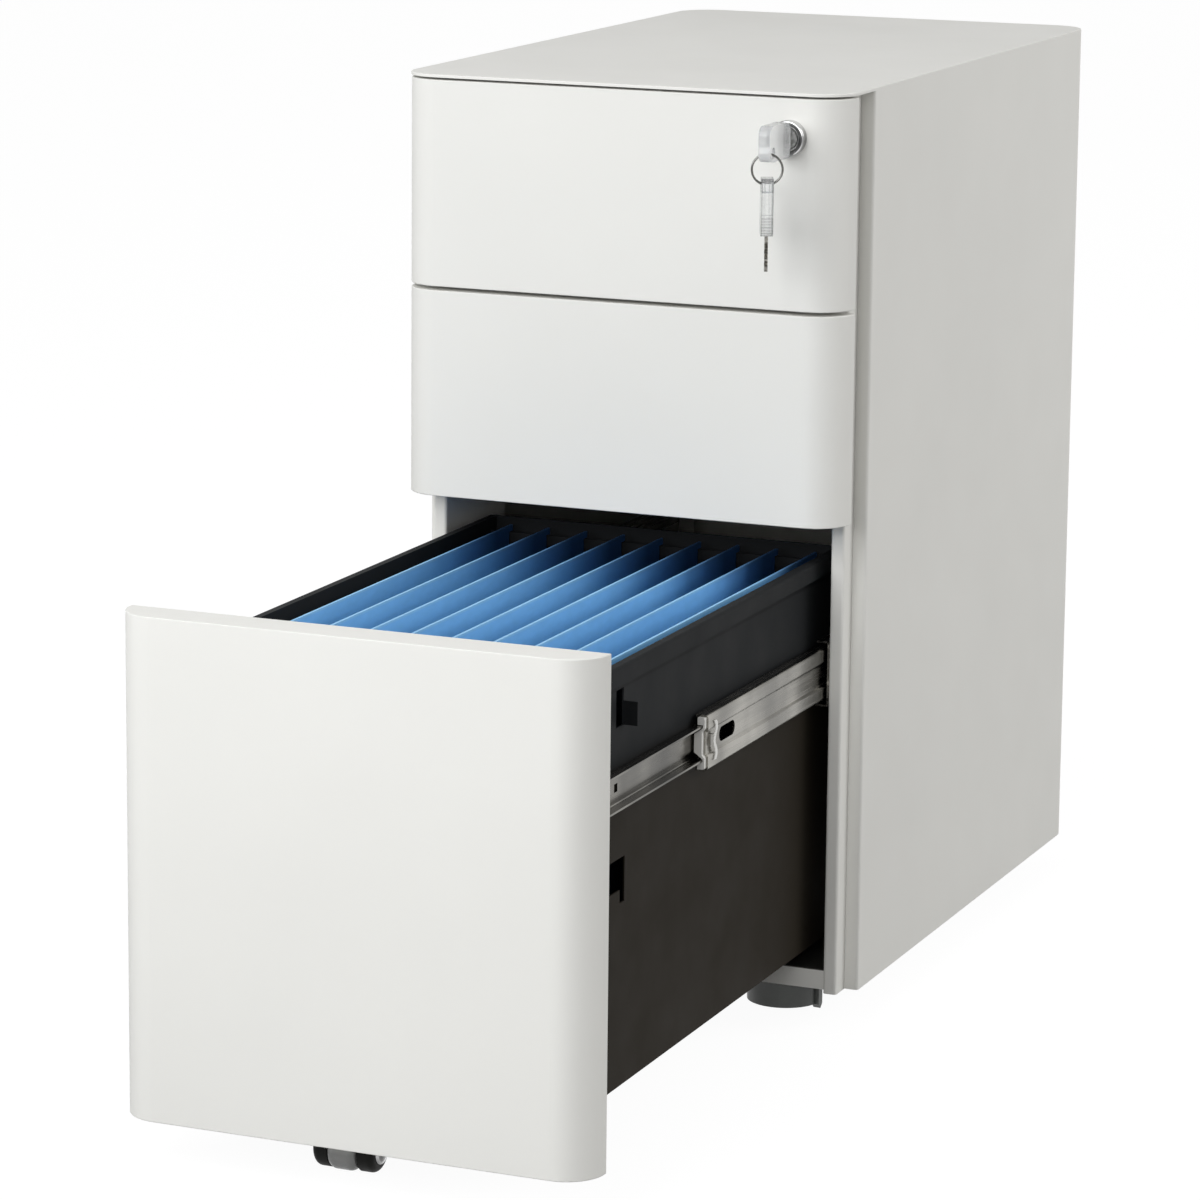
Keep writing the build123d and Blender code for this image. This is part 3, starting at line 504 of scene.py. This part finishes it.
wear(white, "top_plate", "top_stiffener", "back_panel", "rear_posts")
wear(white, *each("side_panel"), *each("front_post"))
wear(base_coat_with_painted_shade(), "base_plate")
for drawer in ("drawer_1", "drawer_2", "file_drawer"):
    wear(white, f"{drawer}_front", f"{drawer}_liner")
    wear(black, f"{drawer}_box", f"{drawer}_catch")
wear(black, "folder_rails")
wear(folder(), "hanging_folders")
wear(zinc, *each("slide_outer"), *each("slide_middle"))
wear(inner_zinc_in_painted_shade, *each("slide_inner"))
wear(white_plastic(), *each("slide_bumpers"))
wear(fittings, "lock_bar", "lock_bar_guides", "lock_cam", "lock_nut")
wear(fittings, "caster_flanges", "file_caster_flange")
wear(lock_chrome(), "lock_barrel")
wear(plug_face(), "lock_plug")
wear(key_steel(), "key_blade", "spare_key_blade")
wear(ring_wire(), "key_ring")
wear(clear_head(), "key_head")
wear(clear_spare_head(), "spare_key_head")
wear(dark, *each("caster_hood"))
wear(wheel, *each("caster_wheels"), "file_caster_wheels")
wear(small_hood(), "file_caster_hood")
wear(cap_chrome(), "file_caster_caps")

# Smooth shading with crisp edges
crisp_angle = math.radians(32)
for piece in nodes.values():
    for polygon in piece.data.polygons:
        polygon.use_smooth = True
    piece.modifiers.new("crisp edges", "EDGE_SPLIT").split_angle = crisp_angle


# Floor and room, white to the eye and to metal and glass
def white_to_eye(owner, plain, share, strength, output):
    """Shows camera, glossy and transmitted rays a share of white light over a plain shader."""
    rays = node(owner, "ShaderNodeLightPath").outputs
    seen = calculate(owner, "MAXIMUM", rays["Is Camera Ray"], rays["Is Glossy Ray"])
    seen = calculate(owner, "MAXIMUM", seen, rays["Is Transmission Ray"])
    light = node(owner, "ShaderNodeEmission")
    light.inputs["Color"].default_value = (1, 1, 1, 1)
    light.inputs["Strength"].default_value = strength
    blend = node(owner, "ShaderNodeMixShader")
    link(owner, calculate(owner, "MULTIPLY", seen, share), blend.inputs["Fac"])
    link(owner, plain, blend.inputs[1])
    link(owner, light.outputs["Emission"], blend.inputs[2])
    link(owner, blend.outputs["Shader"], owner.node_tree.nodes[output].inputs["Surface"])


floor_side = 30
floor_share, floor_glow = 0.7, 1.36  # white enough to the eye, with the shadow kept
bpy.ops.mesh.primitive_plane_add(size=floor_side, location=(0, 0, 0))
floor = bpy.context.object
floor_mat = material("floor", gray(0.3), 0.9, Specular_IOR_Level=0.1)
floor.data.materials.append(floor_mat)
plain_floor = floor_mat.node_tree.nodes["Principled BSDF"].outputs["BSDF"]
white_to_eye(floor_mat, plain_floor, floor_share, floor_glow, "Material Output")

room_strength = 0.27
world = bpy.data.worlds.new("studio")
scene.world = world
world.use_nodes = True
room = world.node_tree.nodes["Background"]
room.inputs["Color"].default_value = (1, 1, 1, 1)
room.inputs["Strength"].default_value = room_strength
white_to_eye(world, room.outputs["Background"], 1, 1, "World Output")


# Lamps
def area(name, start, aim, side, power, color=(1, 1, 1)):
    """A square soft lamp that shines from its start to its aim."""
    data = bpy.data.lights.new(name, "AREA")
    data.shape = "SQUARE"
    data.size = side
    data.energy = power
    data.color = color
    lamp = bpy.data.objects.new(name, data)
    scene.collection.objects.link(lamp)
    lamp.location = start
    lamp.rotation_euler = (Vector(aim) - Vector(start)).to_track_quat("-Z", "Y").to_euler()


cool = (0.985, 1, 1.02)
area("key", start=(-0.65, -1.8, 1.6), aim=(0, 0.5, 1.1), side=1.9, power=45, color=cool)
area("right rear", start=(3.6, 1.6, 2.3), aim=(0, 0, 0.3), side=2.4, power=91)
area("front", start=(0.7, -3.1, 1.1), aim=(0.1, -0.1, 0.35), side=1.0, power=15)

# Camera, fitted to edges of the photograph; picture side, focal length and centre in pixels
picture_side = 1200
focal_length = 4860.87
centre_across, centre_down = 530, 499.95
sensor_side = 36  # in millimetres
right = Vector((0.91716336, 0.39845527, 0.00669078))
down = Vector((0.08168781, -0.17154287, -0.98178416))
forward = Vector((-0.39004932, 0.90100302, -0.18988178))
eye = Vector((1.142186, -2.827209, 0.917402))

lens = bpy.data.cameras.new("photo camera")
lens.sensor_width = sensor_side
lens.lens = focal_length / picture_side * sensor_side
lens.shift_x = (picture_side / 2 - centre_across) / picture_side
lens.shift_y = (centre_down - picture_side / 2) / picture_side
lens.clip_start = 0.05
lens.clip_end = 60
camera = bpy.data.objects.new("photo camera", lens)
scene.collection.objects.link(camera)
camera_turn = Matrix((right, -down, -forward)).transposed()
camera.matrix_world = Matrix.Translation(eye) @ camera_turn.to_4x4()
scene.camera = camera
scene.view_settings.view_transform = "Standard"
